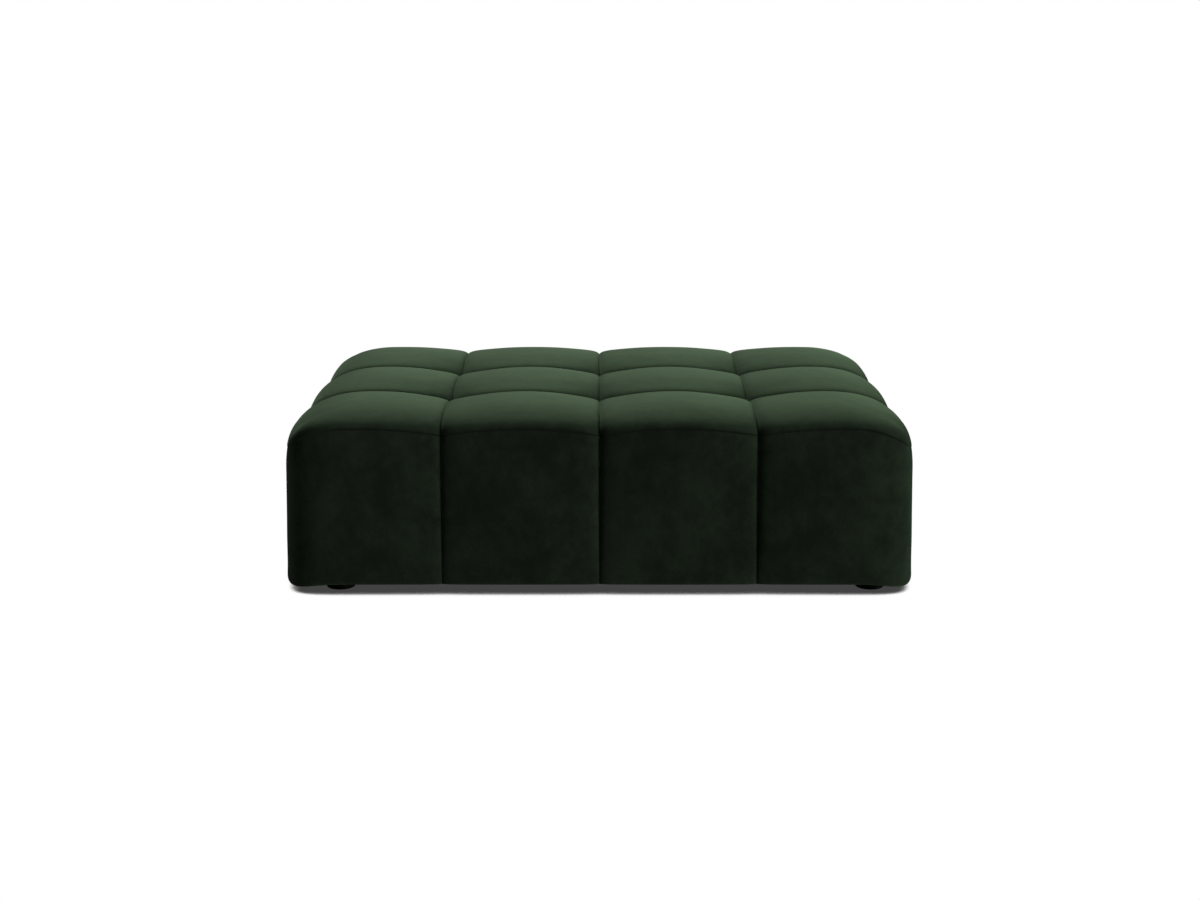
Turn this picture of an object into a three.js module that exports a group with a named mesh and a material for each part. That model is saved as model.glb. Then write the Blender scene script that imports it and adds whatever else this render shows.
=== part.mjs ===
import * as THREE from 'three';

// A tufted pouf: crowned cells on top, padded wall panels below a sewn seam, four low disc feet.
// Millimetres, +Z up. The front faces -Y and the floor is z = 0 under the middle of the pouf.

// Driving dimensions of the plan.
const columns = 4;
const rows = 3;
const cellWidth = 345;
const cellDepth = 309;
const halfWidth = 692;
const halfDepth = 476;
const cornerPower = 6;

// Heights above the floor.
const crownLevel = 405;
const panelBottom = 24;
const boardBottom = 26;
const boardThickness = 6;

// Padding: how deep the fabric is drawn in at the channels. Across a cell the drop is mostly a
// square, with a small share of a much steeper power, and a narrow crease runs along each channel.
const crownHeight = 40;
const channelShare = 0.26;
const wallChannel = 3.5;
const steepShare = 0.1;
const steepPower = 10;
const topCrease = 3.5;
const wallCrease = 7;
const creaseRun = 14;
const hemEase = 0.6;

// The rolled edge: how far the top falls to the sewn seam, and how the fall is shaped.
const frontRoll = 2.1;
const sideRoll = 2.5;
const sidePower = 8;
const frontFall = 32.5;
const sideFall = 72.5;
const channelFall = 16.5;
const cornerFall = 26;
const cornerFallPower = 1.5;

// The walls below the seam swell out and lean out a little.
const wallSwell = 4;
const swellRun = 50;
const wallLean = 0.02;
const panelThickness = 34;
const hemDrop = 16;
const hemIn = 8;

// The gap between pieces that touch.
const gap = 0.3;

// Feet.
const footRadius = 32;
const footRim = 2;
const footX = 590;
const footShift = 13;
const footY = 408;
const footSides = 40;

// Where the mesh is cut, as shares of a half cell, of an outer half cell and of the walls.
const halfCellCuts = [0, 0.3, 0.55, 0.75, 0.88, 0.96, 1];
const outerCuts = [0, 0.3, 0.55, 0.75, 0.88, 0.96, 1];
const swellCuts = [0.25, 0.6, 1];
const wallCuts = [0.33, 0.66, 1];
const hemCuts = [30, 60, 90];

const coreX = (columns - 1) / 2 * cellWidth;
const coreY = (rows - 1) / 2 * cellDepth;
const reachX = halfWidth - wallSwell - coreX;
const reachY = halfDepth - wallSwell - coreY;
const boardTop = boardBottom + boardThickness;
const cellBottom = boardTop + gap;

const velvet = new THREE.MeshStandardMaterial({ color: 0x24382a, roughness: 0.9, metalness: 0 });
const blackCloth = new THREE.MeshStandardMaterial({ color: 0x141414, roughness: 0.95, metalness: 0 });
const blackPlastic = new THREE.MeshStandardMaterial({ color: 0x111111, roughness: 0.5, metalness: 0 });

function clamp(value, low, high) {
  return Math.min(high, Math.max(low, value));
}

// Share of the full drop from a cell's crown, 0, to its channel, 1.
function pillowCurve(t) {
  return (1 - steepShare) * t ** 2 + steepShare * t ** steepPower;
}

// The drop share at a place along one direction. The outer half of an outer cell has no channel.
function channelDrop(place, pitch, count) {
  const index = clamp(Math.floor(place / pitch + count / 2), 0, count - 1);
  const t = 2 * (place / pitch - (index - count / 2 + 0.5));
  const outer = (index === count - 1 && t > 0) || (index === 0 && t < 0);
  return outer ? 0 : pillowCurve(clamp(Math.abs(t), 0, 1));
}

// The share of the full crease near a channel line, one on the line itself.
function creaseShare(x, y) {
  const away = (place, pitch, count) => {
    const line = clamp(Math.round(place / pitch + count / 2), 1, count - 1);
    return Math.abs(place - (line - count / 2) * pitch);
  };
  const distance = Math.min(away(x, cellWidth, columns), away(y, cellDepth, rows));
  return Math.exp(-distance / creaseRun);
}

// A station is a point inside the middles of the outer cells, with the way out from there to the
// rim. The rim's plan is a superellipse round each corner, so the way out has a length of one in
// that measure, and the normal is square to the rim.
function station(x, y, outX, outY) {
  const sizeX = Math.abs(outX);
  const sizeY = Math.abs(outY);
  const size = (sizeX ** cornerPower + sizeY ** cornerPower) ** (1 / cornerPower) || 1;
  const wayX = outX / size;
  const wayY = outY / size;
  const slopeX = Math.sign(wayX) * Math.abs(wayX) ** (cornerPower - 1) / reachX;
  const slopeY = Math.sign(wayY) * Math.abs(wayY) ** (cornerPower - 1) / reachY;
  const slope = Math.hypot(slopeX, slopeY) || 1;
  const corner = Math.min(sizeX, sizeY) / (Math.max(sizeX, sizeY) || 1);
  const sideShare = Math.abs(wayX) ** sidePower;
  return { x, y, wayX, wayY, normalX: slopeX / slope, normalY: slopeY / slope, corner, sideShare };
}

// How far the top falls from the crown's level to the seam at a station.
function rimFall(at, dropX, dropY) {
  const even = frontFall + (sideFall - frontFall) * at.sideShare;
  return even + channelFall * Math.max(dropX, dropY) + cornerFall * at.corner ** cornerFallPower;
}

// The top's padded skin: share 0 is the station, share 1 the seam. The level follows a
// superellipse quarter, and the channels draw the skin in along its normal.
function topPoint(at, share) {
  const x = at.x + at.wayX * reachX * share;
  const y = at.y + at.wayY * reachY * share;
  const dropX = channelDrop(x, cellWidth, columns);
  const dropY = channelDrop(y, cellDepth, rows);
  const fall = rimFall(at, dropX, dropY);
  const rollPower = frontRoll + (sideRoll - frontRoll) * at.sideShare;
  const wall = share ** rollPower;
  const up = Math.sqrt(Math.max(0, 1 - wall));
  const reach = Math.hypot(at.wayX * reachX, at.wayY * reachY) || 1;
  const slope = fall * rollPower / 2 * share ** (rollPower - 1) / reach;
  const normalLength = Math.hypot(slope, up);
  const channels = channelShare * (dropX + dropY) + (1 - 2 * channelShare) * dropX * dropY;
  const broad = (1 - wall) * crownHeight * channels + wall * wallChannel * Math.max(dropX, dropY);
  const crease = topCrease + (wallCrease - topCrease) * wall;
  const depth = broad + crease * creaseShare(x, y);
  const inward = depth * slope / normalLength;
  const level = crownLevel - fall * (1 - up) - depth * up / normalLength;
  return [x - at.normalX * inward, y - at.normalY * inward, level];
}

// The wall's padded skin, a drop below the seam. The channels get shallower towards the hem.
function wallPoint(at, drop) {
  const [x, y, level] = topPoint(at, 1);
  const rimX = at.x + at.wayX * reachX;
  const rimY = at.y + at.wayY * reachY;
  const depth = Math.hypot(rimX - x, rimY - y);
  const downShare = drop / (level - panelBottom - hemDrop);
  const swell = wallSwell * (1 - (1 - Math.min(drop / swellRun, 1)) ** 2) + wallLean * drop;
  const out = swell + hemEase * depth * downShare ** 2;
  return [x + at.normalX * out, y + at.normalY * out, level - drop];
}

// A point on the flat inner face of the wall panels, which the cells stand against.
function innerPoint(at, level, inset) {
  const inward = panelThickness - wallSwell + inset;
  const x = at.x + at.wayX * reachX - at.normalX * inward;
  const y = at.y + at.wayY * reachY - at.normalY * inward;
  return [x, y, level];
}

// The cuts of one cell along one direction: a place within the outer middles, and a signed
// share of the way from there to the rim.
function cellCuts(index, pitch, count) {
  const middle = (index - count / 2 + 0.5) * pitch;
  const half = (pitch - gap) / 2;
  const inner = halfCellCuts.map((share) => ({ place: share * half, out: 0 }));
  const outer = outerCuts.map((share) => ({ place: 0, out: share }));
  const low = index === 0 ? outer : inner;
  const high = index === count - 1 ? outer : inner;
  const below = low.slice(1).reverse().map((cut) => ({ place: middle - cut.place, out: -cut.out }));
  const above = high.map((cut) => ({ place: middle + cut.place, out: cut.out }));
  return below.concat(above);
}

function columnCuts(column) {
  return cellCuts(column, cellWidth, columns);
}

function rowCuts(row) {
  return cellCuts(row, cellDepth, rows);
}

function stationAt(cutX, cutY) {
  return station(cutX.place, cutY.place, cutX.out, cutY.out);
}

// Collects the points and faces of one closed solid.
function solidBuilder() {
  const points = [];
  const faces = [];
  return {
    point(xyz) {
      points.push(xyz);
      return points.length - 1;
    },
    triangle(a, b, c) {
      faces.push(a, b, c);
    },
    quad(a, b, c, d) {
      faces.push(a, b, c, a, c, d);
    },
    at(index) {
      return points[index];
    },
    mesh(name, material) {
      const geometry = new THREE.BufferGeometry();
      geometry.setAttribute('position', new THREE.Float32BufferAttribute(points.flat(), 3));
      geometry.setIndex(faces);
      geometry.computeVertexNormals();
      const mesh = new THREE.Mesh(geometry, material);
      mesh.name = name;
      return mesh;
    },
  };
}

// Fills a flat upright outline, given anticlockwise as seen from outside.
function fillUpright(solid, outline, runsAlongX, direction) {
  const flatten = (index) => {
    const [x, y, z] = solid.at(index);
    return new THREE.Vector2((runsAlongX ? x : y) * direction, z);
  };
  const contour = outline.map(flatten);
  THREE.ShapeUtils.triangulateShape(contour, []).forEach(([a, b, c]) => {
    const turned = THREE.ShapeUtils.area([contour[a], contour[b], contour[c]]) < 0;
    solid.triangle(outline[a], outline[turned ? c : b], outline[turned ? b : c]);
  });
}

// One filled cell: a crowned top, flat drawn-in sides at its channels, and on an outer side
// a ledge at the seam with an upright face behind the wall panel.
function cell(column, row) {
  const solid = solidBuilder();
  const cutsX = columnCuts(column);
  const cutsY = rowCuts(row);
  const lastX = cutsX.length - 1;
  const lastY = cutsY.length - 1;
  const stations = cutsX.map((cutX) => cutsY.map((cutY) => stationAt(cutX, cutY)));
  const grid = stations.map((line, i) => line.map((at, j) => {
    const share = Math.max(Math.abs(cutsX[i].out), Math.abs(cutsY[j].out));
    return solid.point(topPoint(at, share));
  }));
  for (let i = 0; i < lastX; i += 1) {
    for (let j = 0; j < lastY; j += 1) {
      solid.quad(grid[i][j], grid[i + 1][j], grid[i + 1][j + 1], grid[i][j + 1]);
    }
  }

  const upX = cutsX.map((cut, i) => i);
  const upY = cutsY.map((cut, j) => j);
  const sides = [
    { cells: upX.map((i) => [i, 0]), sewn: row === 0, alongX: true, direction: 1 },
    { cells: upY.map((j) => [lastX, j]), sewn: column === columns - 1, alongX: false, direction: 1 },
    { cells: upX.map((i) => [lastX - i, lastY]), sewn: row === rows - 1, alongX: true, direction: -1 },
    { cells: upY.map((j) => [0, lastY - j]), sewn: column === 0, alongX: false, direction: -1 },
  ];

  const ledges = new Map();
  const feet = new Map();
  const keyOf = ([i, j]) => i * cutsY.length + j;
  sides.filter((side) => side.sewn).forEach((side) => side.cells.forEach((place) => {
    if (ledges.has(keyOf(place))) return;
    const at = stations[place[0]][place[1]];
    const level = solid.at(grid[place[0]][place[1]])[2];
    ledges.set(keyOf(place), solid.point(innerPoint(at, level, gap)));
    feet.set(keyOf(place), solid.point(innerPoint(at, cellBottom, gap)));
  }));
  const footOf = (place) => {
    if (!feet.has(keyOf(place))) {
      const [x, y] = solid.at(grid[place[0]][place[1]]);
      feet.set(keyOf(place), solid.point([x, y, cellBottom]));
    }
    return feet.get(keyOf(place));
  };

  const rim = [];
  sides.forEach((side) => {
    const tops = side.cells.map(([i, j]) => grid[i][j]);
    if (side.sewn) {
      side.cells.slice(1).forEach((place, k) => {
        const before = side.cells[k];
        const ledgeA = ledges.get(keyOf(before));
        const ledgeB = ledges.get(keyOf(place));
        solid.quad(ledgeA, ledgeB, tops[k + 1], tops[k]);
        solid.quad(footOf(before), footOf(place), ledgeB, ledgeA);
        rim.push(footOf(before));
      });
      return;
    }
    const first = side.cells[0];
    const last = side.cells[side.cells.length - 1];
    const outline = [footOf(first), footOf(last)];
    if (ledges.has(keyOf(last))) outline.push(ledges.get(keyOf(last)));
    outline.push(...tops.slice().reverse());
    if (ledges.has(keyOf(first))) outline.push(ledges.get(keyOf(first)));
    fillUpright(solid, outline, side.alongX, side.direction);
    rim.push(footOf(first));
  });

  const middle = solid.point([
    (column - columns / 2 + 0.5) * cellWidth,
    (row - rows / 2 + 0.5) * cellDepth,
    cellBottom,
  ]);
  rim.forEach((foot, k) => solid.triangle(middle, rim[(k + 1) % rim.length], foot));
  return solid.mesh(`cell_c${column + 1}_r${row + 1}`, velvet);
}

// The outer line of a panel from its seam to its hem, at one station.
function panelOuterLine(at) {
  const [seamX, seamY, seamZ] = wallPoint(at, 0);
  const fullDrop = seamZ - panelBottom - hemDrop;
  const line = [[seamX, seamY, seamZ - gap]];
  swellCuts.forEach((share) => line.push(wallPoint(at, share * swellRun)));
  wallCuts.forEach((share) => line.push(wallPoint(at, swellRun + share * (fullDrop - swellRun))));
  const [wallX, wallY] = line[line.length - 1];
  hemCuts.forEach((degrees) => {
    const turn = THREE.MathUtils.degToRad(degrees);
    const inward = hemIn * (1 - Math.cos(turn));
    const level = panelBottom + hemDrop * (1 - Math.sin(turn));
    line.push([wallX - at.normalX * inward, wallY - at.normalY * inward, level]);
  });
  return line;
}

// One wall panel, a padded slab carried along the stations, which run anticlockwise from above.
function panel(name, stations) {
  const solid = solidBuilder();
  const rings = stations.map((at) => {
    const outer = panelOuterLine(at);
    const topLevel = outer[0][2];
    const ring = outer.concat([innerPoint(at, panelBottom, 0), innerPoint(at, topLevel, 0)]);
    return ring.map((xyz) => solid.point(xyz));
  });
  const size = rings[0].length;
  for (let k = 0; k < rings.length - 1; k += 1) {
    for (let n = 0; n < size; n += 1) {
      const next = (n + 1) % size;
      solid.quad(rings[k][n], rings[k][next], rings[k + 1][next], rings[k + 1][n]);
    }
  }
  const closeEnd = (ring, atStart) => {
    const innerTop = ring[size - 1];
    const innerFoot = ring[size - 2];
    const half = Math.floor(size / 2);
    const add = (a, b, c) => (atStart ? solid.triangle(a, c, b) : solid.triangle(a, b, c));
    for (let n = 0; n < half; n += 1) add(innerTop, ring[n], ring[n + 1]);
    add(innerTop, ring[half], innerFoot);
    for (let n = half; n < size - 3; n += 1) add(innerFoot, ring[n], ring[n + 1]);
  };
  closeEnd(rings[0], true);
  closeEnd(rings[rings.length - 1], false);
  return solid.mesh(name, velvet);
}

// The rim of the top from above, anticlockwise: stations of each side of each outer cell.
function rimFront(column) {
  return columnCuts(column).map((cut) => station(cut.place, -coreY, cut.out, -1));
}

function rimRight(row) {
  return rowCuts(row).map((cut) => station(coreX, cut.place, 1, cut.out));
}

function rimBack(column) {
  return columnCuts(column).reverse().map((cut) => station(cut.place, coreY, cut.out, 1));
}

function rimLeft(row) {
  return rowCuts(row).reverse().map((cut) => station(-coreX, cut.place, -1, cut.out));
}

// The two rims of a corner cell share the station at the corner itself.
function aroundCorner(firstRim, secondRim) {
  return firstRim.concat(secondRim.slice(1));
}

function wallPanels() {
  const lastColumn = columns - 1;
  const lastRow = rows - 1;
  const panels = [
    panel('panel_front_left', aroundCorner(rimLeft(0), rimFront(0))),
    panel('panel_front_right', aroundCorner(rimFront(lastColumn), rimRight(0))),
    panel('panel_back_right', aroundCorner(rimRight(lastRow), rimBack(lastColumn))),
    panel('panel_back_left', aroundCorner(rimBack(0), rimLeft(lastRow))),
  ];
  for (let column = 1; column < lastColumn; column += 1) {
    panels.push(panel(`panel_front_c${column + 1}`, rimFront(column)));
    panels.push(panel(`panel_back_c${column + 1}`, rimBack(column)));
  }
  for (let row = 1; row < lastRow; row += 1) {
    panels.push(panel(`panel_left_r${row + 1}`, rimLeft(row)));
    panels.push(panel(`panel_right_r${row + 1}`, rimRight(row)));
  }
  return panels;
}

function topCells() {
  const cells = [];
  for (let column = 0; column < columns; column += 1) {
    for (let row = 0; row < rows; row += 1) cells.push(cell(column, row));
  }
  return cells;
}

// The flat sheet between the panels, which carries the cells and takes the feet.
function underside() {
  const line = [];
  for (let column = 0; column < columns; column += 1) line.push(...rimFront(column));
  for (let row = 0; row < rows; row += 1) line.push(...rimRight(row));
  for (let column = columns - 1; column >= 0; column -= 1) line.push(...rimBack(column));
  for (let row = rows - 1; row >= 0; row -= 1) line.push(...rimLeft(row));
  const rounded = line.filter((at) => at.corner > 0);
  const outline = new THREE.Shape(rounded.map((at) => new THREE.Vector2(...innerPoint(at, 0, gap))));
  const geometry = new THREE.ExtrudeGeometry(outline, { depth: boardThickness, bevelEnabled: false });
  const mesh = new THREE.Mesh(geometry, blackCloth);
  mesh.name = 'underside';
  mesh.position.z = boardBottom;
  return mesh;
}

// A low turned disc with small rims, its flat foot on the floor.
function foot(name, x, y) {
  const height = boardBottom - gap;
  const profile = [
    [0, 0],
    [footRadius - footRim, 0],
    [footRadius, footRim],
    [footRadius, height - footRim],
    [footRadius - footRim, height],
    [0, height],
  ];
  const geometry = new THREE.LatheGeometry(profile.map(([r, z]) => new THREE.Vector2(r, z)), footSides);
  geometry.rotateX(Math.PI / 2);
  const mesh = new THREE.Mesh(geometry, blackPlastic);
  mesh.name = name;
  mesh.position.set(x, y, 0);
  return mesh;
}

function feet() {
  return [
    foot('foot_front_left', footShift - footX, -footY),
    foot('foot_front_right', footShift + footX, -footY),
    foot('foot_back_left', footShift - footX, footY),
    foot('foot_back_right', footShift + footX, footY),
  ];
}

const pouf = new THREE.Group();
pouf.add(...topCells(), ...wallPanels(), underside(), ...feet());

export default pouf;
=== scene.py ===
import math

import bpy
import numpy as np
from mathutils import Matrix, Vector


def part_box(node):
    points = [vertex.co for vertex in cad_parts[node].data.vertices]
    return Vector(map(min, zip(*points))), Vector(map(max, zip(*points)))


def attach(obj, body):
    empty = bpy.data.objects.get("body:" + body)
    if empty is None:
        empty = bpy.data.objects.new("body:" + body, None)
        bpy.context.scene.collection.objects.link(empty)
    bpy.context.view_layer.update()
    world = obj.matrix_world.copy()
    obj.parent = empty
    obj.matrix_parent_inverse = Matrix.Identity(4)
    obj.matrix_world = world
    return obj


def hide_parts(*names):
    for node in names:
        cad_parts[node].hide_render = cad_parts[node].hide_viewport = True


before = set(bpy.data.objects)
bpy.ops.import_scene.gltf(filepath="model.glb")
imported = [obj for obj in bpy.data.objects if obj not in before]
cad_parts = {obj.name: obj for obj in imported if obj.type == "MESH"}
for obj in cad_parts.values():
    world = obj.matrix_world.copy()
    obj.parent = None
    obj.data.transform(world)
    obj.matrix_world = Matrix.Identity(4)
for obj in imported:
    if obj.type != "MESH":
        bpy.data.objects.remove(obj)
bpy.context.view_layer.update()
print("frame loaded:", len(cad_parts), "nodes")


# Camera, floor, world and lights.

stageLook = {
    "floorRadius": 40.0,
    "floorSides": 96,
    "floorBounce": 0.46,                      # what the floor gives back to the pouf
    "shadeSamples": 16,
    "shadeReach": 0.10,                       # how near the pouf has to be to shade the floor
    "shadeFrom": 0.25,                        # openness of the floor where its shade is deepest
    "shadeTo": 0.53,                          # and where it is white again
    "shadeColour": (0.055, 0.055, 0.055, 1),
    "backdrop": (1.0, 1.0, 1.0, 1),           # the floor and the world as the camera sees them
    "sky": (0.80, 0.82, 0.84, 1),             # the world as a soft fill light
    "skyStrength": 0.008,
}
cameraPlace = {
    "sensorWidth": 36,
    "distance": 4.268,                        # in front of the pouf's middle
    "height": 1.2206,
    "pitch": 0.1913,                          # radians below level
    "focalPixels": 1798.6,                    # for an image 1200 pixels wide
    "imageWidth": 1200,
    "shiftX": 0.0005,
    "shiftY": -0.06,
}
lights = {
    # azimuth from the right towards the back and elevation in degrees, distance and size in
    # metres, power in watts, colour
    "right_key": (-22, 13, 20.0, 8.75, 740, (1.0, 1.0, 0.98)),
    "back_rim": (101, 24, 8.0, 3.5, 172, (1.0, 0.99, 0.97)),
    "left_edge": (180, 25, 8.0, 3.5, 6, (0.98, 1.0, 1.0)),
}
lightTarget = (0.0, 0.0, 0.3)


def addNode(tree, kind, at, **settings):
    node = tree.nodes.new(kind)
    node.location = at
    for name, value in settings.items():
        setattr(node, name, value)
    return node


def pointAt(thing, target):
    way = np.array(target) - np.array(thing.location)
    flat = math.hypot(way[0], way[1])
    thing.rotation_euler = (math.atan2(flat, -way[2]), 0, math.atan2(-way[0], way[1]))


def makeCamera(place):
    data = bpy.data.cameras.new("camera")
    data.sensor_width = place["sensorWidth"]
    data.lens = place["focalPixels"] * data.sensor_width / place["imageWidth"]
    data.shift_x = place["shiftX"]
    data.shift_y = place["shiftY"]
    camera = bpy.data.objects.new("camera", data)
    camera.location = (0, -place["distance"], place["height"])
    camera.rotation_euler = (math.pi / 2 - place["pitch"], 0, 0)
    bpy.context.scene.collection.objects.link(camera)
    bpy.context.scene.camera = camera


def makeWorld(look):
    # the camera sees an even pale backdrop, while the pouf is lit by a dimmer sky
    world = bpy.data.worlds.new("studio")
    world.use_nodes = True
    tree = world.node_tree
    tree.nodes.clear()
    path = addNode(tree, "ShaderNodeLightPath", (-400, 200))
    fill = addNode(tree, "ShaderNodeBackground", (-200, 0))
    fill.inputs["Color"].default_value = look["sky"]
    fill.inputs["Strength"].default_value = look["skyStrength"]
    seen = addNode(tree, "ShaderNodeBackground", (-200, -150))
    seen.inputs["Color"].default_value = look["backdrop"]
    mix = addNode(tree, "ShaderNodeMixShader", (0, 0))
    out = addNode(tree, "ShaderNodeOutputWorld", (200, 0))
    tree.links.new(path.outputs["Is Camera Ray"], mix.inputs[0])
    tree.links.new(fill.outputs[0], mix.inputs[1])
    tree.links.new(seen.outputs[0], mix.inputs[2])
    tree.links.new(mix.outputs[0], out.inputs["Surface"])
    bpy.context.scene.world = world


def makeFloor(look):
    # a flat disc of radius floorRadius at the level of the feet
    turns = np.linspace(0, 2 * math.pi, look["floorSides"], endpoint=False)
    rim = np.column_stack([np.cos(turns), np.sin(turns), 0 * turns]) * look["floorRadius"]
    mesh = bpy.data.meshes.new("floor")
    mesh.from_pydata(rim.tolist(), [], [list(range(len(rim)))])
    floor = bpy.data.objects.new("floor", mesh)
    bpy.context.scene.collection.objects.link(floor)
    material = bpy.data.materials.new("pale_floor")
    material.use_nodes = True
    tree = material.node_tree
    tree.nodes.clear()
    path = addNode(tree, "ShaderNodeLightPath", (-400, 300))
    bounce = addNode(tree, "ShaderNodeBsdfDiffuse", (-200, 150))
    bounce.inputs["Color"].default_value = (look["floorBounce"],) * 3 + (1,)
    openness = addNode(tree, "ShaderNodeAmbientOcclusion", (-900, -50))
    openness.samples = look["shadeSamples"]
    openness.inputs["Distance"].default_value = look["shadeReach"]
    shade = addNode(tree, "ShaderNodeValToRGB", (-700, -50))
    shade.color_ramp.interpolation = "EASE"
    shade.color_ramp.elements[0].position = look["shadeFrom"]
    shade.color_ramp.elements[0].color = look["shadeColour"]
    shade.color_ramp.elements[1].position = look["shadeTo"]
    shade.color_ramp.elements[1].color = look["backdrop"]
    seen = addNode(tree, "ShaderNodeEmission", (-200, -50))
    mix = addNode(tree, "ShaderNodeMixShader", (100, 0))
    out = addNode(tree, "ShaderNodeOutputMaterial", (300, 0))
    tree.links.new(openness.outputs["AO"], shade.inputs["Fac"])
    tree.links.new(shade.outputs["Color"], seen.inputs["Color"])
    tree.links.new(path.outputs["Is Camera Ray"], mix.inputs[0])
    tree.links.new(bounce.outputs[0], mix.inputs[1])
    tree.links.new(seen.outputs[0], mix.inputs[2])
    tree.links.new(mix.outputs[0], out.inputs["Surface"])
    mesh.materials.append(material)


def makeLights(table):
    # large soft lights on a half dome round the pouf
    for name, (azimuth, elevation, distance, size, power, colour) in table.items():
        data = bpy.data.lights.new(name, "AREA")
        data.shape = "SQUARE"
        data.size = size
        data.energy = power
        data.color = colour
        turn, rise = math.radians(azimuth), math.radians(elevation)
        way = (math.cos(rise) * math.cos(turn), math.cos(rise) * math.sin(turn), math.sin(rise))
        lamp = bpy.data.objects.new(name, data)
        lamp.location = np.array(lightTarget) + distance * np.array(way)
        pointAt(lamp, lightTarget)
        bpy.context.scene.collection.objects.link(lamp)


bpy.context.scene.view_settings.view_transform = "Standard"
makeCamera(cameraPlace)
makeWorld(stageLook)
makeFloor(stageLook)
makeLights(lights)
print("stage ready")


# Materials.

velvetLook = {
    "dark": (0.0210, 0.0305, 0.0205, 1),      # pile that leans away
    "light": (0.0610, 0.0900, 0.0590, 1),     # pile that leans towards the light
    "sheen": 1.0,
    "sheenRoughness": 0.60,
    "sheenTint": (0.410, 0.66, 0.378, 1),
    "paintedShade": (0.0020, 0.0030, 0.0020, 1),      # painted shade in the groove of a seam or channel
    "stretch": (1.0, 1.0, 0.85),              # the strokes are a little longer upright
    "patch": (8.0, 6, 0.66),                  # brushed patches: scale per metre, detail, roughness
    "streak": (40.0, 4, 0.6),                 # finer strokes within them
    "pile": (1500.0, 2, 0.5),
    "streakShare": 0.30,
    "darkBelow": 0.41,                        # where on that mix the pile is darkest
    "lightAbove": 0.60,                       # and where it is lightest
    "patchBump": 0.0032,
    "pileBump": 0.00016,
    "bumpStrength": 0.5,
    "roughness": 0.95,
    "specular": 0.15,
}


def link(tree, start, outName, end, inName):
    tree.links.new(start.outputs[outName], end.inputs[inName])


def makeNoise(tree, at, coordinates, scale, detail, roughness):
    noise = addNode(tree, "ShaderNodeTexNoise", at)
    noise.inputs["Scale"].default_value = scale
    noise.inputs["Detail"].default_value = detail
    noise.inputs["Roughness"].default_value = roughness
    tree.links.new(coordinates, noise.inputs["Vector"])
    return noise


def makeBump(tree, at, height, distance, strength, before=None):
    bump = addNode(tree, "ShaderNodeBump", at)
    bump.inputs["Distance"].default_value = distance
    bump.inputs["Strength"].default_value = strength
    tree.links.new(height, bump.inputs["Height"])
    if before is not None:
        tree.links.new(before.outputs["Normal"], bump.inputs["Normal"])
    return bump


def makeVelvet(look):
    # short dense pile: dark body, green sheen at glancing angles, brushed patches and fine pile,
    # with the colour mixed towards a painted shade where the piece's attribute for it is high,
    # along its seams and channels
    material = bpy.data.materials.new("green_velvet")
    material.use_nodes = True
    tree = material.node_tree
    shader = tree.nodes["Principled BSDF"]
    place = addNode(tree, "ShaderNodeTexCoord", (-1200, 0)).outputs["Object"]
    stretch = addNode(tree, "ShaderNodeMapping", (-1000, -200))
    stretch.inputs["Scale"].default_value = look["stretch"]
    tree.links.new(place, stretch.inputs["Vector"])

    patch = makeNoise(tree, (-800, 200), stretch.outputs[0], *look["patch"])
    streak = makeNoise(tree, (-800, -50), stretch.outputs[0], *look["streak"])
    pile = makeNoise(tree, (-800, -300), place, *look["pile"])

    both = addNode(tree, "ShaderNodeMix", (-600, 150))
    both.inputs["Factor"].default_value = look["streakShare"]
    link(tree, patch, "Fac", both, "A")
    link(tree, streak, "Fac", both, "B")
    ramp = addNode(tree, "ShaderNodeValToRGB", (-400, 150))
    ramp.color_ramp.elements[0].position = look["darkBelow"]
    ramp.color_ramp.elements[0].color = look["dark"]
    ramp.color_ramp.elements[1].position = look["lightAbove"]
    ramp.color_ramp.elements[1].color = look["light"]
    link(tree, both, "Result", ramp, "Fac")
    # painted shade: this attribute darkens the pile along the seams and channels, where their
    # grooves fall in shade
    shadeAmount = addNode(tree, "ShaderNodeAttribute", (-400, 400), attribute_name="paintedShadeAmount")
    # on a mix of colours, sockets 6 and 7 are its colours A and B, and output 2 is the result
    paintedShade = addNode(tree, "ShaderNodeMix", (-150, 250), data_type="RGBA")
    paintedShade.inputs[7].default_value = look["paintedShade"]
    tree.links.new(shadeAmount.outputs["Fac"], paintedShade.inputs[0])
    tree.links.new(ramp.outputs["Color"], paintedShade.inputs[6])
    tree.links.new(paintedShade.outputs[2], shader.inputs["Base Color"])

    strength = look["bumpStrength"]
    broad = makeBump(tree, (-400, -150), both.outputs["Result"], look["patchBump"], strength)
    fine = makeBump(tree, (-200, -250), pile.outputs["Fac"], look["pileBump"], strength, broad)
    link(tree, fine, "Normal", shader, "Normal")
    shader.inputs["Roughness"].default_value = look["roughness"]
    shader.inputs["Specular IOR Level"].default_value = look["specular"]
    shader.inputs["Sheen Weight"].default_value = look["sheen"]
    shader.inputs["Sheen Roughness"].default_value = look["sheenRoughness"]
    shader.inputs["Sheen Tint"].default_value = look["sheenTint"]
    return material


plasticLook = {
    "colour": (0.0075, 0.0075, 0.0075, 1),
    "worn": (0.016, 0.016, 0.0155, 1),        # scuffed patches
    "roughness": 0.42,
    "glossSpread": (-0.06, 0.16),             # what the scuffs take from the roughness and add
    "scuff": (130.0, 6, 0.7),                 # scale per metre, detail, roughness
    "scuffFrom": 0.52,
    "scuffTo": 0.78,
    "grain": (2600.0, 2, 0.5),
    "grainBump": 0.00004,
    "bumpStrength": 0.6,
}
baseClothLook = {
    "dark": (0.006, 0.006, 0.0065, 1),
    "light": (0.014, 0.014, 0.0145, 1),
    "dotPitch": 0.0026,                       # the pressed dots of non-woven cloth
    "dotBump": 0.0001,
    "bumpStrength": 0.6,
    "fibre": (900.0, 5, 0.75),                # scale per metre, detail, roughness
    "fibreShare": 0.45,
    "roughness": 0.85,
}


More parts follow.
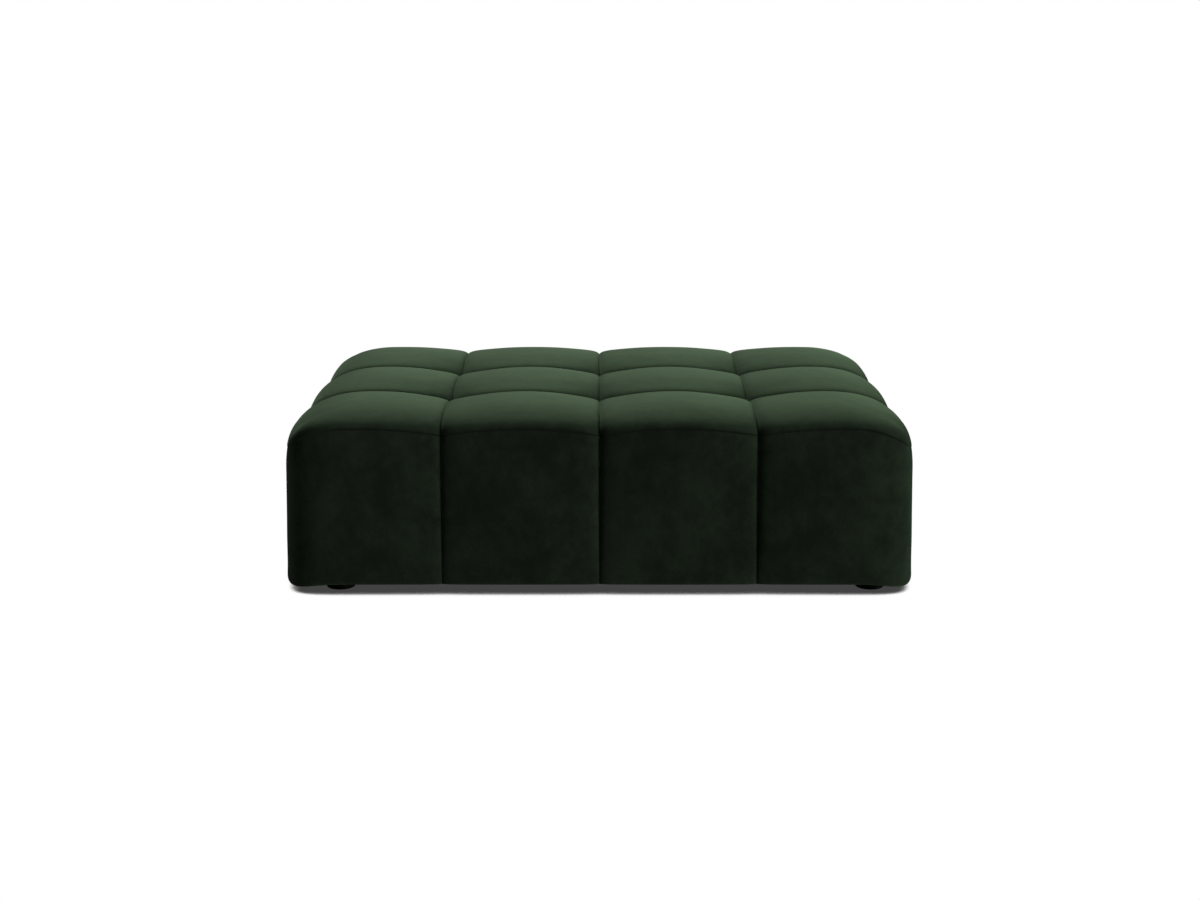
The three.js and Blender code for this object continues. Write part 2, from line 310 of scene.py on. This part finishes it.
def makePlastic(look):
    # moulded plastic: a fine spark grain, slightly uneven gloss and faint scuffs
    material = bpy.data.materials.new("black_plastic")
    material.use_nodes = True
    tree = material.node_tree
    shader = tree.nodes["Principled BSDF"]
    place = addNode(tree, "ShaderNodeTexCoord", (-1000, 0)).outputs["Object"]
    grain = makeNoise(tree, (-700, -250), place, *look["grain"])
    scuff = makeNoise(tree, (-700, 150), place, *look["scuff"])
    ramp = addNode(tree, "ShaderNodeValToRGB", (-450, 150))
    ramp.color_ramp.elements[0].position = look["scuffFrom"]
    ramp.color_ramp.elements[0].color = look["colour"]
    ramp.color_ramp.elements[1].position = look["scuffTo"]
    ramp.color_ramp.elements[1].color = look["worn"]
    link(tree, scuff, "Fac", ramp, "Fac")
    link(tree, ramp, "Color", shader, "Base Color")
    gloss = addNode(tree, "ShaderNodeMapRange", (-450, -50))
    gloss.inputs["To Min"].default_value = look["roughness"] + look["glossSpread"][0]
    gloss.inputs["To Max"].default_value = look["roughness"] + look["glossSpread"][1]
    link(tree, scuff, "Fac", gloss, "Value")
    link(tree, gloss, "Result", shader, "Roughness")
    height = grain.outputs["Fac"]
    bump = makeBump(tree, (-300, -300), height, look["grainBump"], look["bumpStrength"])
    link(tree, bump, "Normal", shader, "Normal")
    return material


def makeBaseCloth(look):
    # black non-woven cloth: a grid of pressed dots over matted fibres
    material = bpy.data.materials.new("black_base_cloth")
    material.use_nodes = True
    tree = material.node_tree
    shader = tree.nodes["Principled BSDF"]
    place = addNode(tree, "ShaderNodeTexCoord", (-1200, 0)).outputs["Object"]
    dots = []
    for number, turn in enumerate((math.pi / 4, -math.pi / 4)):
        mapping = addNode(tree, "ShaderNodeMapping", (-1000, 250 - 250 * number))
        mapping.inputs["Rotation"].default_value = (0, 0, turn)
        tree.links.new(place, mapping.inputs["Vector"])
        wave = addNode(tree, "ShaderNodeTexWave", (-800, 250 - 250 * number))
        # at scale 1 this texture has a wave every 2 pi / 20
        wave.inputs["Scale"].default_value = 2 * math.pi / look["dotPitch"] / 20
        tree.links.new(mapping.outputs[0], wave.inputs["Vector"])
        dots.append(wave)
    fibre = makeNoise(tree, (-800, -300), place, *look["fibre"])
    pressed = addNode(tree, "ShaderNodeMath", (-600, 150), operation="MULTIPLY")
    tree.links.new(dots[0].outputs["Fac"], pressed.inputs[0])
    tree.links.new(dots[1].outputs["Fac"], pressed.inputs[1])
    both = addNode(tree, "ShaderNodeMix", (-450, 0))
    both.inputs["Factor"].default_value = look["fibreShare"]
    link(tree, pressed, "Value", both, "A")
    link(tree, fibre, "Fac", both, "B")
    ramp = addNode(tree, "ShaderNodeValToRGB", (-250, 100))
    ramp.color_ramp.elements[0].color = look["light"]
    ramp.color_ramp.elements[1].color = look["dark"]
    link(tree, both, "Result", ramp, "Fac")
    link(tree, ramp, "Color", shader, "Base Color")
    height = both.outputs["Result"]
    bump = makeBump(tree, (-250, -200), height, look["dotBump"], look["bumpStrength"])
    link(tree, bump, "Normal", shader, "Normal")
    shader.inputs["Roughness"].default_value = look["roughness"]
    return material


velvet = makeVelvet(velvetLook)
blackPlastic = makePlastic(plasticLook)
baseCloth = makeBaseCloth(baseClothLook)
print("materials ready")


# The shape that all padded pieces share: a superellipse plan, a rolled edge and sewn channels.

plan = {
    "columns": 4,
    "rows": 3,
    "cellWidth": 0.345,
    "cellDepth": 0.309,
    "halfWidth": 0.692,
    "halfDepth": 0.476,
    "cornerPower": 6,
    "crownLevel": 0.405,
    "crownHeight": 0.040,                     # how deep the top is drawn in where channels cross
    "channelShare": 0.26,                     # and along one channel alone, as a share of that
    "wallChannel": 0.0035,                    # how deep the channels run down the wall
    "steepShare": 0.1,                        # the part of that drop that comes late and steeply
    "steepPower": 10,
    "topCrease": 0.0035,                      # the narrow crease along each channel
    "wallCrease": 0.0085,
    "creaseRun": 0.012,
    "hemEase": 0.6,                           # how much shallower the channels are at the hem
    "frontRoll": 2.1,                         # the power that the roll over the edge falls by
    "sideRoll": 2.5,
    "sidePower": 8,                           # how late a corner turns from front to side
    "frontFall": 0.0325,                      # from the crown's level down to the seam
    "sideFall": 0.0725,
    "channelFall": 0.0165,                    # how much further down where a channel meets it
    "cornerFall": 0.023,                      # and at the corners
    "cornerFallPower": 5.5,
    "wallSwell": 0.004,                       # how far the wall stands out below the seam
    "swellRun": 0.050,
    "wallLean": 0.02,                         # and how far out it leans for each metre down
    "panelThickness": 0.034,
    "hemDrop": 0.011,
    "hemIn": 0.006,
    "hemSag": 0.008,                          # how much lower the hem hangs at the corners
    "hemSagPower": 8,
    "panelBottom": 0.024,
    "cellBottom": 0.0323,
    "gap": 0.000002,                          # sewn edges all but touch
}
sewing = {
    "lipDepth": 0.0008,                       # how far the roll stands out just above its seam
    "lipTurn": 0.0016,
    "lipRun": 0.011,
    "pinchDepth": 0.0026,                     # the fabric's last turn into the channels
    "pinchRun": 0.0030,
    "seamShadeRun": 0.0019,                        # how far the painted shade reaches from a seam
    # how far the painted shade reaches from a channel line
    "channelShadeRun": 0.0004,
}
coreX = (plan["columns"] - 1) / 2 * plan["cellWidth"]
coreY = (plan["rows"] - 1) / 2 * plan["cellDepth"]
reachX = plan["halfWidth"] - plan["wallSwell"] - coreX
reachY = plan["halfDepth"] - plan["wallSwell"] - coreY


def channelDrop(place, pitch, count):
    # t runs from 0 at a cell's middle to 1 at its channel; the drop is 0.9 t^2 + 0.1 t^10,
    # and nothing on the outer half of an outer cell
    index = np.clip(np.floor(place / pitch + count / 2), 0, count - 1)
    t = 2 * (place / pitch - (index - count / 2 + 0.5))
    outer = ((index == count - 1) & (t > 0)) | ((index == 0) & (t < 0))
    t = np.where(outer, 0, np.clip(np.abs(t), 0, 1))
    share = plan["steepShare"]
    return (1 - share) * t ** 2 + share * t ** plan["steepPower"]


def channelDistance(place, pitch, count):
    # how far a place is from the nearest channel line
    lines = (np.arange(1, count) - count / 2) * pitch
    return np.min(np.abs(place[..., None] - lines), axis=-1)


def nearestChannel(x, y):
    return np.minimum(
        channelDistance(x, plan["cellWidth"], plan["columns"]),
        channelDistance(y, plan["cellDepth"], plan["rows"]),
    )


def makeStation(x, y, outX, outY):
    # the way out from a point inside the outer cells' middles, one long in the measure
    # (|x|^6 + |y|^6)^(1/6), the normal of the rim's superellipse there, and 2ab / (a^2 + b^2) of
    # the ways along both directions, which is 1 on a corner's diagonal
    power = plan["cornerPower"]
    x, y, outX, outY = np.broadcast_arrays(*(np.asarray(a, float) for a in (x, y, outX, outY)))
    size = (np.abs(outX) ** power + np.abs(outY) ** power) ** (1 / power)
    size = np.where(size == 0, 1, size)
    wayX = outX / size
    wayY = outY / size
    slopeX = np.sign(wayX) * np.abs(wayX) ** (power - 1) / reachX
    slopeY = np.sign(wayY) * np.abs(wayY) ** (power - 1) / reachY
    slope = np.hypot(slopeX, slopeY)
    slope = np.where(slope == 0, 1, slope)
    small = np.minimum(np.abs(outX), np.abs(outY))
    large = np.maximum(np.abs(outX), np.abs(outY))
    corner = 2 * small * large / np.where(large == 0, 1, small ** 2 + large ** 2)
    sideShare = np.abs(wayX) ** plan["sidePower"]
    return {
        "x": x, "y": y, "wayX": wayX, "wayY": wayY,
        "normalX": slopeX / slope, "normalY": slopeY / slope,
        "corner": corner, "sideShare": sideShare, "share": large,
    }


def topSkin(at, share):
    # the level falls as a superellipse quarter, crownLevel - fall (1 - sqrt(1 - s^roll)), with s
    # the share of the way to the seam; the channels draw the skin in along its normal, and the
    # crease and the pinch each add their depth times exp(-d / run), d from the nearest channel
    # line; just above the seam, at a height h, a lip of lipDepth stands out by
    # (1 - exp(-(h / lipTurn)^2)) exp(-(h / lipRun)^2)
    x = at["x"] + at["wayX"] * reachX * share
    y = at["y"] + at["wayY"] * reachY * share
    dropX = channelDrop(x, plan["cellWidth"], plan["columns"])
    dropY = channelDrop(y, plan["cellDepth"], plan["rows"])
    most = np.maximum(dropX, dropY)
    fall = plan["frontFall"] + (plan["sideFall"] - plan["frontFall"]) * at["sideShare"]
    fall = fall + plan["channelFall"] * most
    fall = fall + plan["cornerFall"] * at["corner"] ** plan["cornerFallPower"]
    power = plan["frontRoll"] + (plan["sideRoll"] - plan["frontRoll"]) * at["sideShare"]
    wall = share ** power
    up = np.sqrt(np.clip(1 - wall, 0, 1))
    reach = np.hypot(at["wayX"] * reachX, at["wayY"] * reachY)
    reach = np.where(reach == 0, 1, reach)
    slope = fall * power / 2 * share ** (power - 1) / reach
    length = np.hypot(slope, up)
    even = plan["channelShare"]
    channels = even * (dropX + dropY) + (1 - 2 * even) * dropX * dropY
    depth = (1 - wall) * plan["crownHeight"] * channels + wall * plan["wallChannel"] * most
    distance = nearestChannel(x, y)
    crease = plan["topCrease"] + (plan["wallCrease"] - plan["topCrease"]) * wall
    depth = depth + crease * np.exp(-distance / plan["creaseRun"])
    depth = depth + sewing["pinchDepth"] * np.exp(-distance / sewing["pinchRun"])
    height = fall * up
    lip = sewing["lipDepth"] * (1 - np.exp(-(height / sewing["lipTurn"]) ** 2))
    lip = lip * np.exp(-(height / sewing["lipRun"]) ** 2)
    inward = depth * slope / length - lip
    level = plan["crownLevel"] - fall * (1 - up) - depth * up / length
    return np.stack([x - at["normalX"] * inward, y - at["normalY"] * inward, level], axis=-1)


def wallSkin(at, drop):
    # below the seam the wall swells out by wallSwell (1 - (1 - d / swellRun)^2) and leans a
    # little, and its channels get shallower with the square of the way down to the hem
    seam = topSkin(at, np.ones_like(drop))
    rim = np.stack([at["x"] + at["wayX"] * reachX, at["y"] + at["wayY"] * reachY], axis=-1)
    depth = np.linalg.norm(rim - seam[..., :2], axis=-1)
    downShare = drop / (seam[..., 2] - plan["panelBottom"] - plan["hemDrop"])
    run = np.minimum(drop / plan["swellRun"], 1)
    swell = plan["wallSwell"] * (1 - (1 - run) ** 2) + plan["wallLean"] * drop
    out = swell + plan["hemEase"] * depth * downShare ** 2
    return seam + np.stack([at["normalX"] * out, at["normalY"] * out, -drop], axis=-1)


def innerFace(at, level):
    # the flat inner face of the wall covers, panelThickness behind their outer face
    inward = plan["panelThickness"] - plan["wallSwell"]
    x = at["x"] + at["wayX"] * reachX - at["normalX"] * inward
    y = at["y"] + at["wayY"] * reachY - at["normalY"] * inward
    return np.stack(np.broadcast_arrays(x, y, level), axis=-1)


def crowded(count, power):
    # shares from 0 to 1 that crowd towards 1: 1 - (1 - t)^power
    return 1 - (1 - np.linspace(0, 1, count)) ** power


def cellLine(index, pitch, count, steps, crowding):
    # places and ways out along one direction of one cell, from its low side to its high side,
    # with a mark from -1 to 1 for each
    middle = (index - count / 2 + 0.5) * pitch
    half = (pitch - plan["gap"]) / 2
    inner = crowded(steps, crowding[0])
    outer = crowded(steps, crowding[1])
    lowOuter, highOuter = index == 0, index == count - 1
    below = outer if lowOuter else inner
    above = outer if highOuter else inner
    belowPlace = np.zeros(steps) if lowOuter else -below * half
    belowOut = -below if lowOuter else np.zeros(steps)
    abovePlace = np.zeros(steps) if highOuter else above * half
    aboveOut = above if highOuter else np.zeros(steps)
    place = middle + np.concatenate([belowPlace[:0:-1], abovePlace])
    out = np.concatenate([belowOut[:0:-1], aboveOut])
    return place, out, np.concatenate([-below[:0:-1], above])


def gridQuads(countA, countB, start=0, flip=False):
    # the faces of a grid whose points are stored line by line
    a = np.arange(countA - 1)[:, None] * countB + np.arange(countB - 1)[None, :] + start
    a = a.ravel()
    quads = np.stack([a, a + countB, a + countB + 1, a + 1], axis=-1)
    return quads[:, ::-1] if flip else quads


def gridBorder(countA, countB):
    # indices round the grid's edge, in the direction that keeps the grid on the left
    ids = np.arange(countA * countB).reshape(countA, countB)
    return np.concatenate([ids[:-1, 0], ids[-1, :-1], ids[:0:-1, -1], ids[0, :0:-1]])


def addMesh(name, points, faces, material, smooth=True):
    mesh = bpy.data.meshes.new(name)
    mesh.from_pydata(np.asarray(points).tolist(), [], [list(map(int, face)) for face in faces])
    mesh.polygons.foreach_set("use_smooth", np.full(len(mesh.polygons), smooth))
    mesh.materials.append(material)
    mesh.validate()
    mesh.update()
    piece = bpy.data.objects.new(name, mesh)
    bpy.context.scene.collection.objects.link(piece)
    return piece


def shellFaces(countA, countB, start=0, flip=False):
    # a closed shell of two grids of the same size, joined round their edges
    total = countA * countB
    border = gridBorder(countA, countB) + start
    after = np.roll(border, -1)
    quads = np.concatenate([
        gridQuads(countA, countB, start, flip=True),
        gridQuads(countA, countB, start + total),
        np.stack([border, after, after + total, border + total], -1),
    ])
    return quads[:, ::-1] if flip else quads


def paintedShadeMark(at, share, away):
    # painted shade along seams and channels: exp(-(away / r)^2) for a seam at that distance, r the
    # seam's shade run, and the same with the channel's shade run for the nearest channel
    x = at["x"] + at["wayX"] * reachX * share
    y = at["y"] + at["wayY"] * reachY * share
    distance = nearestChannel(x, y)
    seam = np.exp(-(away / sewing["seamShadeRun"]) ** 2)
    return np.maximum(seam, np.exp(-(distance / sewing["channelShadeRun"]) ** 2))


def markPaintedShade(piece, mark):
    # points beyond the skin's own lie inside the piece and get the full painted shade
    values = np.ones(len(piece.data.vertices))
    values[:mark.size] = mark.ravel()
    piece.data.attributes.new("paintedShadeAmount", "FLOAT", "POINT").data.foreach_set("value", values)


def padPiece(piece, node):
    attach(piece, "root")
    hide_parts(node)


# The skins of the cushions and of the wall covers, each a grid with marks from -1 to 1.

cushionLook = {
    "steps": 44,                              # grid lines in each half of a cell
    "crowding": (1.5, 2.2),                   # how they crowd to the channels and to the rim
    "ledge": 0.001,                           # a step down round the skin where it meets the next
    "fill": 0.8,
}
coverLook = {
    "steps": 44,
    "crowding": (1.5, 2.2),
    "wallSteps": 40,
    "downPower": 2.4,                         # how the lines crowd up to the seam
    "hemSteps": 10,
    "fill": 0.7,
}
wallMark = 0.94                               # the wall's share of a cover's marks, above the hem


def cushionSkin(column, row, look):
    across = (look["steps"], look["crowding"])
    placeX, outX, markX = cellLine(column, plan["cellWidth"], plan["columns"], *across)
    placeY, outY, markY = cellLine(row, plan["cellDepth"], plan["rows"], *across)
    at = makeStation(placeX[:, None], placeY[None, :], outX[:, None], outY[None, :])
    return at, topSkin(at, at["share"]), markX, markY


def rimLine(sides, steps, crowding):
    # the rim along one or two sides of a cell, anticlockwise as seen from above
    lines = []
    for side, index in sides:
        if side in ("front", "back"):
            place, out, mark = cellLine(index, plan["cellWidth"], plan["columns"], steps, crowding)
            sign = -1 if side == "front" else 1
            line = [place, 0 * place + sign * coreY, out, 0 * out + sign, mark]
        else:
            place, out, mark = cellLine(index, plan["cellDepth"], plan["rows"], steps, crowding)
            sign = -1 if side == "left" else 1
            line = [0 * place + sign * coreX, place, 0 * out + sign, out, mark]
        line = np.array(line)
        if side in ("back", "left"):
            # these run backwards, so their marks, the last of the five rows, change sign
            line = line[:, ::-1] * [[1], [1], [1], [1], [-1]]
        line[4] += 2 * len(lines)
        lines.append(line[:, 1:] if lines else line)
    line = np.concatenate(lines, axis=1)
    return line[:4], (line[4] + 1) / len(sides) - 1


def coverSkin(sides, look):
    # the outer skin runs from the seam down the wall and round the hem in a quarter of an ellipse,
    # and hangs lower at the corners by hemSag times a power of the corner's measure
    line, markA = rimLine(sides, look["steps"], look["crowding"])
    at = makeStation(*(a[:, None] for a in line))
    seam = topSkin(at, np.ones_like(at["share"]))[..., 2]
    full = seam - plan["panelBottom"] - plan["hemDrop"]
    full = full + plan["hemSag"] * at["corner"] ** plan["hemSagPower"]
    shares = np.linspace(0, 1, look["wallSteps"])[None, :] ** look["downPower"]
    turn = np.linspace(0, math.pi / 2, look["hemSteps"])[None, 1:]
    drops = np.maximum(full * shares, plan["gap"])
    wall = wallSkin({key: value + 0 * shares for key, value in at.items()}, drops)
    hem = wall[:, -1:, :] + np.stack([
        -at["normalX"] * plan["hemIn"] * (1 - np.cos(turn)),
        -at["normalY"] * plan["hemIn"] * (1 - np.cos(turn)),
        -plan["hemDrop"] * np.sin(turn) + 0 * at["x"],
    ], axis=-1)
    hemMark = wallMark + (1 - wallMark) * turn / (math.pi / 2)
    down = np.concatenate([shares * wallMark, hemMark], axis=1)[0]
    return at, np.concatenate([wall, hem], axis=1), markA, 2 * down - 1


cells = [(column, row) for column in range(plan["columns"]) for row in range(plan["rows"])]
lastColumn, lastRow = plan["columns"] - 1, plan["rows"] - 1
coverSides = {
    "front_left": (("left", 0), ("front", 0)),
    "front_right": (("front", lastColumn), ("right", 0)),
    "back_right": (("right", lastRow), ("back", lastColumn)),
    "back_left": (("back", 0), ("left", lastRow)),
}
for column in range(1, lastColumn):
    coverSides[f"front_c{column + 1}"] = (("front", column),)
    coverSides[f"back_c{column + 1}"] = (("back", column),)
for row in range(1, lastRow):
    coverSides[f"left_r{row + 1}"] = (("left", row),)
    coverSides[f"right_r{row + 1}"] = (("right", row),)


# Padding: coarse closed copies of all the padded pieces, held along their seams, are blown up a
# little as cloth, and the skins take over how far the cloth has moved.

paddingLook = {
    "steps": 11,                              # grid lines in each half of a cell
    "crowding": (1.0, 1.2),
    "wallSteps": 12,
    "downPower": 1.0,
    "hemSteps": 4,
    "start": 0.0022,                          # how far inside its place the cloth starts
    "startPower": 8,                          # how flat that is before it dies out at the seams
    "quality": 6,
    "clothMass": 0.3,
    "pressure": 4.0,
    "frames": 20,
    "cap": 0.005,                             # how far a point may move
    "waves": 6,                               # waves kept along each direction of a cell
}


def waveTable(mark, count):
    # sin(k pi (mark + 1) / 2) for k from 1 to count, which is nothing at both ends
    return np.sin(np.arange(1, count + 1)[None, :] * math.pi / 2 * (mark[:, None] + 1))


def waveCalm(count):
    # sinc(k / (count + 1)) for wave k, which takes the ripple out of a row of waves that ends
    return np.sinc(np.arange(1, count + 1) / (count + 1))


def gridNormals(skin):
    across = np.gradient(skin, axis=0)
    along = np.gradient(skin, axis=1)
    normal = np.cross(across, along)
    return normal / np.maximum(np.linalg.norm(normal, axis=-1, keepdims=True), 1e-12)


def coarseShells(look):
    shells = {}
    for column, row in cells:
        at, skin, markA, markB = cushionSkin(column, row, look)
        inner = skin.copy()
        inner[..., 2] = plan["cellBottom"]
        shells[(column, row)] = (skin, inner, markA, markB, True, look["waves"])
    for name, sides in coverSides.items():
        at, skin, markA, markB = coverSkin(sides, look)
        inner = innerFace(at, skin[..., 2])
        shells[name] = (skin, inner, markA, markB, False, look["waves"] * len(sides))
    return shells


def blowUp(points, faces, held, look):
    # cloth under pressure with no gravity, stepped once and then taken away
    mesh = bpy.data.meshes.new("padding")
    mesh.from_pydata(points.tolist(), [], faces.tolist())
    cloth = bpy.data.objects.new("padding", mesh)
    bpy.context.scene.collection.objects.link(cloth)
    cloth.vertex_groups.new(name="held").add(held.tolist(), 1.0, "REPLACE")
    modifier = cloth.modifiers.new("cloth", "CLOTH")
    settings = modifier.settings
    settings.quality = look["quality"]
    settings.mass = look["clothMass"]
    settings.use_pressure = True
    settings.uniform_pressure_force = look["pressure"]
    settings.effector_weights.gravity = 0
    settings.vertex_group_mass = "held"
    modifier.collision_settings.use_collision = False
    modifier.point_cache.frame_start = 1
    modifier.point_cache.frame_end = look["frames"]
    for number in range(1, look["frames"] + 1):
        bpy.context.scene.frame_set(number)
    shaped = cloth.evaluated_get(bpy.context.evaluated_depsgraph_get())
    moved = np.empty(3 * len(points))
    shaped.data.vertices.foreach_get("co", moved)
    bpy.data.objects.remove(cloth)
    bpy.data.meshes.remove(mesh)
    bpy.context.scene.frame_set(1)
    return moved.reshape(-1, 3)


def simulatePadding(look):
    # for each piece the waves, as a table of sine heights, that carry its skin from the plain
    # shape to where the cloth came to rest
    shells = coarseShells(look)
    points, faces, held, begun = [], [], [], 0
    for skin, inner, markA, markB, flip, waves in shells.values():
        countA, countB = skin.shape[:2]
        free = np.ones((countA, countB))
        free[[0, -1], :] = 0
        free[:, [0, -1]] = 0
        normal = gridNormals(skin) * (1 if flip else -1)
        flatA = 1 - markA[:, None] ** look["startPower"]
        flatB = 1 - markB[None, :] ** look["startPower"]
        start = skin - normal * (look["start"] * flatA * flatB)[..., None]
        points += [start.reshape(-1, 3), inner.reshape(-1, 3)]
        faces.append(shellFaces(countA, countB, begun, flip))
        held.append(begun + np.flatnonzero(free.ravel() == 0))
        held.append(begun + countA * countB + np.arange(countA * countB))
        begun += 2 * countA * countB
    points = np.concatenate(points)
    moved = blowUp(points, np.concatenate(faces), np.concatenate(held), look)
    move = moved - points
    length = np.maximum(np.linalg.norm(move, axis=-1, keepdims=True), 1e-9)
    moved = points + move * look["cap"] * np.tanh(length / look["cap"]) / length
    tables, begun, spread = {}, 0, []
    for name, (skin, inner, markA, markB, flip, waves) in shells.items():
        countA, countB = skin.shape[:2]
        rest = moved[begun:begun + countA * countB].reshape(countA, countB, 3)
        offset = rest - skin
        normal = gridNormals(skin) * (1 if flip else -1)
        spread.append(np.sum(offset * normal, -1)[1:-1, 1:-1].ravel())
        sideA = np.linalg.pinv(waveTable(markA, waves))
        sideB = np.linalg.pinv(waveTable(markB, look["waves"]))
        table = np.einsum("ka,abc,lb->klc", sideA, offset, sideB)
        calm = waveCalm(waves)[:, None] * waveCalm(look["waves"])[None, :]
        tables[name] = table * calm[..., None]
        begun += 2 * countA * countB
    spread = np.concatenate(spread) * 1000
    ends = (spread.mean(), spread.min(), spread.max())
    print("padding moved, mm: mean %.2f, from %.2f to %.2f" % ends)
    return tables


def padded(name, skin, markA, markB):
    if name not in padding:
        return skin
    table = padding[name]
    waveA = waveTable(markA, table.shape[0])
    waveB = waveTable(markB, table.shape[1])
    return skin + np.einsum("ak,klc,bl->abc", waveA, table, waveB)


padding = simulatePadding(paddingLook)
print("padding ready")


# The top's cushions.

def makeCushion(column, row, look):
    # a crowned skin over the cell's grid, a ledge and an upright skirt on its edge, a flat bottom
    at, skin, markX, markY = cushionSkin(column, row, look)
    skin = padded((column, row), skin, markX, markY)
    countX, countY = skin.shape[:2]
    border = gridBorder(countX, countY)
    edge = skin.reshape(-1, 3)[border]
    inner = innerFace(at, skin[..., 2]).reshape(-1, 3)[border]
    normal = np.stack([at["normalX"], at["normalY"]], axis=-1).reshape(-1, 2)[border]
    inner[:, :2] -= normal * plan["gap"]
    sewn = np.isclose(at["share"].reshape(-1)[border], 1)[:, None]
    ledge = np.where(sewn, inner, edge - [0, 0, look["ledge"]])
    foot = ledge.copy()
    foot[:, 2] = plan["cellBottom"]
    middle = foot.mean(axis=0, keepdims=True)
    points = np.concatenate([skin.reshape(-1, 3), ledge, foot, middle])
    total, ring = countX * countY, len(border)
    here = np.arange(ring)
    after = (here + 1) % ring
    ledgeIds, footIds = total + here, total + ring + here
    faces = gridQuads(countX, countY).tolist()
    faces += np.stack([border, ledgeIds, ledgeIds[after], border[after]], -1).tolist()
    faces += np.stack([ledgeIds, footIds, footIds[after], ledgeIds[after]], -1).tolist()
    faces += np.stack([footIds, 0 * footIds + total + 2 * ring, footIds[after]], -1).tolist()
    cell = f"c{column + 1}_r{row + 1}"
    piece = addMesh("cushion_" + cell, points, faces, velvet)
    above = skin[..., 2] - topSkin(at, np.ones_like(at["share"]))[..., 2]
    # painted shade along the cushion's seam and channels
    markPaintedShade(piece, paintedShadeMark(at, at["share"], above))
    padPiece(piece, "cell_" + cell)


for column, row in cells:
    makeCushion(column, row, cushionLook)
print("cushions ready")


# The padded covers of the walls.

def makeCover(name, sides, look):
    # a slab with the outer skin, a flat inner skin, and the two joined along their edges
    at, skin, markA, markB = coverSkin(sides, look)
    skin = padded(name, skin, markA, markB)
    inner = innerFace(at, skin[..., 2])
    points = np.concatenate([skin.reshape(-1, 3), inner.reshape(-1, 3)])
    piece = addMesh("cover_" + name, points, shellFaces(*skin.shape[:2]), velvet)
    # painted shade along the cover's seam and channels
    markPaintedShade(piece, paintedShadeMark(at, 1, skin[:, :1, 2] - skin[..., 2]))
    padPiece(piece, "panel_" + name)


for name, sides in coverSides.items():
    makeCover(name, sides, coverLook)
print("covers ready")


# The feet, turned from black plastic, and the cloth under the pouf.

footLook = {
    "radius": 0.032,
    "edge": 0.0035,                           # rounding of the rim at the floor
    "shoulder": 0.0020,                       # rounding at the top
    "roundSteps": 9,
    "groove": 0.0009,                         # a shallow ring round the side
    "grooveRun": 0.0006,
    "grooveReach": 3,                         # its half width, in runs
    "grooveSteps": 19,
    "grooveLevel": 0.0175,
    "hollow": 0.0015,                         # how far the middle of the sole is drawn in
    "hollowShare": 0.66,                      # and how far out, as a share of the radius
    "soleShare": 0.70,                        # where the sole meets the floor
    "sides": 72,
}


def footProfile(look, height):
    # radius and level from the sole's middle round the rim to the middle of the top: quarter
    # circles at the rims, and between them a ring of depth groove exp(-(height / grooveRun)^2)
    turn = np.linspace(0, math.pi / 2, look["roundSteps"])
    edge, shoulder, radius = look["edge"], look["shoulder"], look["radius"]
    hollowEnd, soleStart = radius * look["hollowShare"], radius * look["soleShare"]
    sole = [(0, look["hollow"]), (hollowEnd, look["hollow"]), (soleStart, 0.0)]
    low = np.column_stack([radius - edge + edge * np.sin(turn), edge * (1 - np.cos(turn))])
    ring = np.linspace(-look["grooveReach"], look["grooveReach"], look["grooveSteps"])
    dip = look["groove"] * np.exp(-ring ** 2)
    side = np.column_stack([radius - dip, look["grooveLevel"] + look["grooveRun"] * ring])
    high = np.column_stack([
        radius - shoulder + shoulder * np.cos(turn),
        height - shoulder + shoulder * np.sin(turn),
    ])
    return np.concatenate([sole, low, side, high, [(0, height)]])


def makeFoot(node, look):
    # the profile turned about the upright axis, with a single point at each pole
    low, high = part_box(node)
    middle = [(low[0] + high[0]) / 2, (low[1] + high[1]) / 2]
    profile = footProfile(look, high[2] - low[2])
    turns = np.linspace(0, 2 * math.pi, look["sides"], endpoint=False)
    rings = profile[1:-1]
    x = middle[0] + rings[:, :1] * np.cos(turns)
    y = middle[1] + rings[:, :1] * np.sin(turns)
    z = low[2] + rings[:, 1:] + 0 * x
    body = np.stack([x, y, z], axis=-1).reshape(-1, 3)
    poles = [[*middle, low[2] + profile[0, 1]], [*middle, low[2] + profile[-1, 1]]]
    count, size = len(rings), look["sides"]
    a = (np.arange(count - 1)[:, None] * size + np.arange(size)[None, :]).ravel()
    b = (np.arange(count - 1)[:, None] * size + (np.arange(size)[None, :] + 1) % size).ravel()
    faces = np.stack([a, b, b + size, a + size], -1).tolist()
    here = np.arange(size)
    after = (here + 1) % size
    last = (count - 1) * size
    faces += np.stack([after, here, 0 * here + count * size], -1).tolist()
    faces += np.stack([last + here, last + after, 0 * here + count * size + 1], -1).tolist()
    piece = addMesh("disc_" + node, np.concatenate([body, poles]), faces, blackPlastic)
    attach(piece, "root")
    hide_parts(node)


for end in ("front_left", "front_right", "back_left", "back_right"):
    makeFoot("foot_" + end, footLook)
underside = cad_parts["underside"]
for slot in underside.material_slots:
    slot.material = baseCloth
print("feet and underside ready")
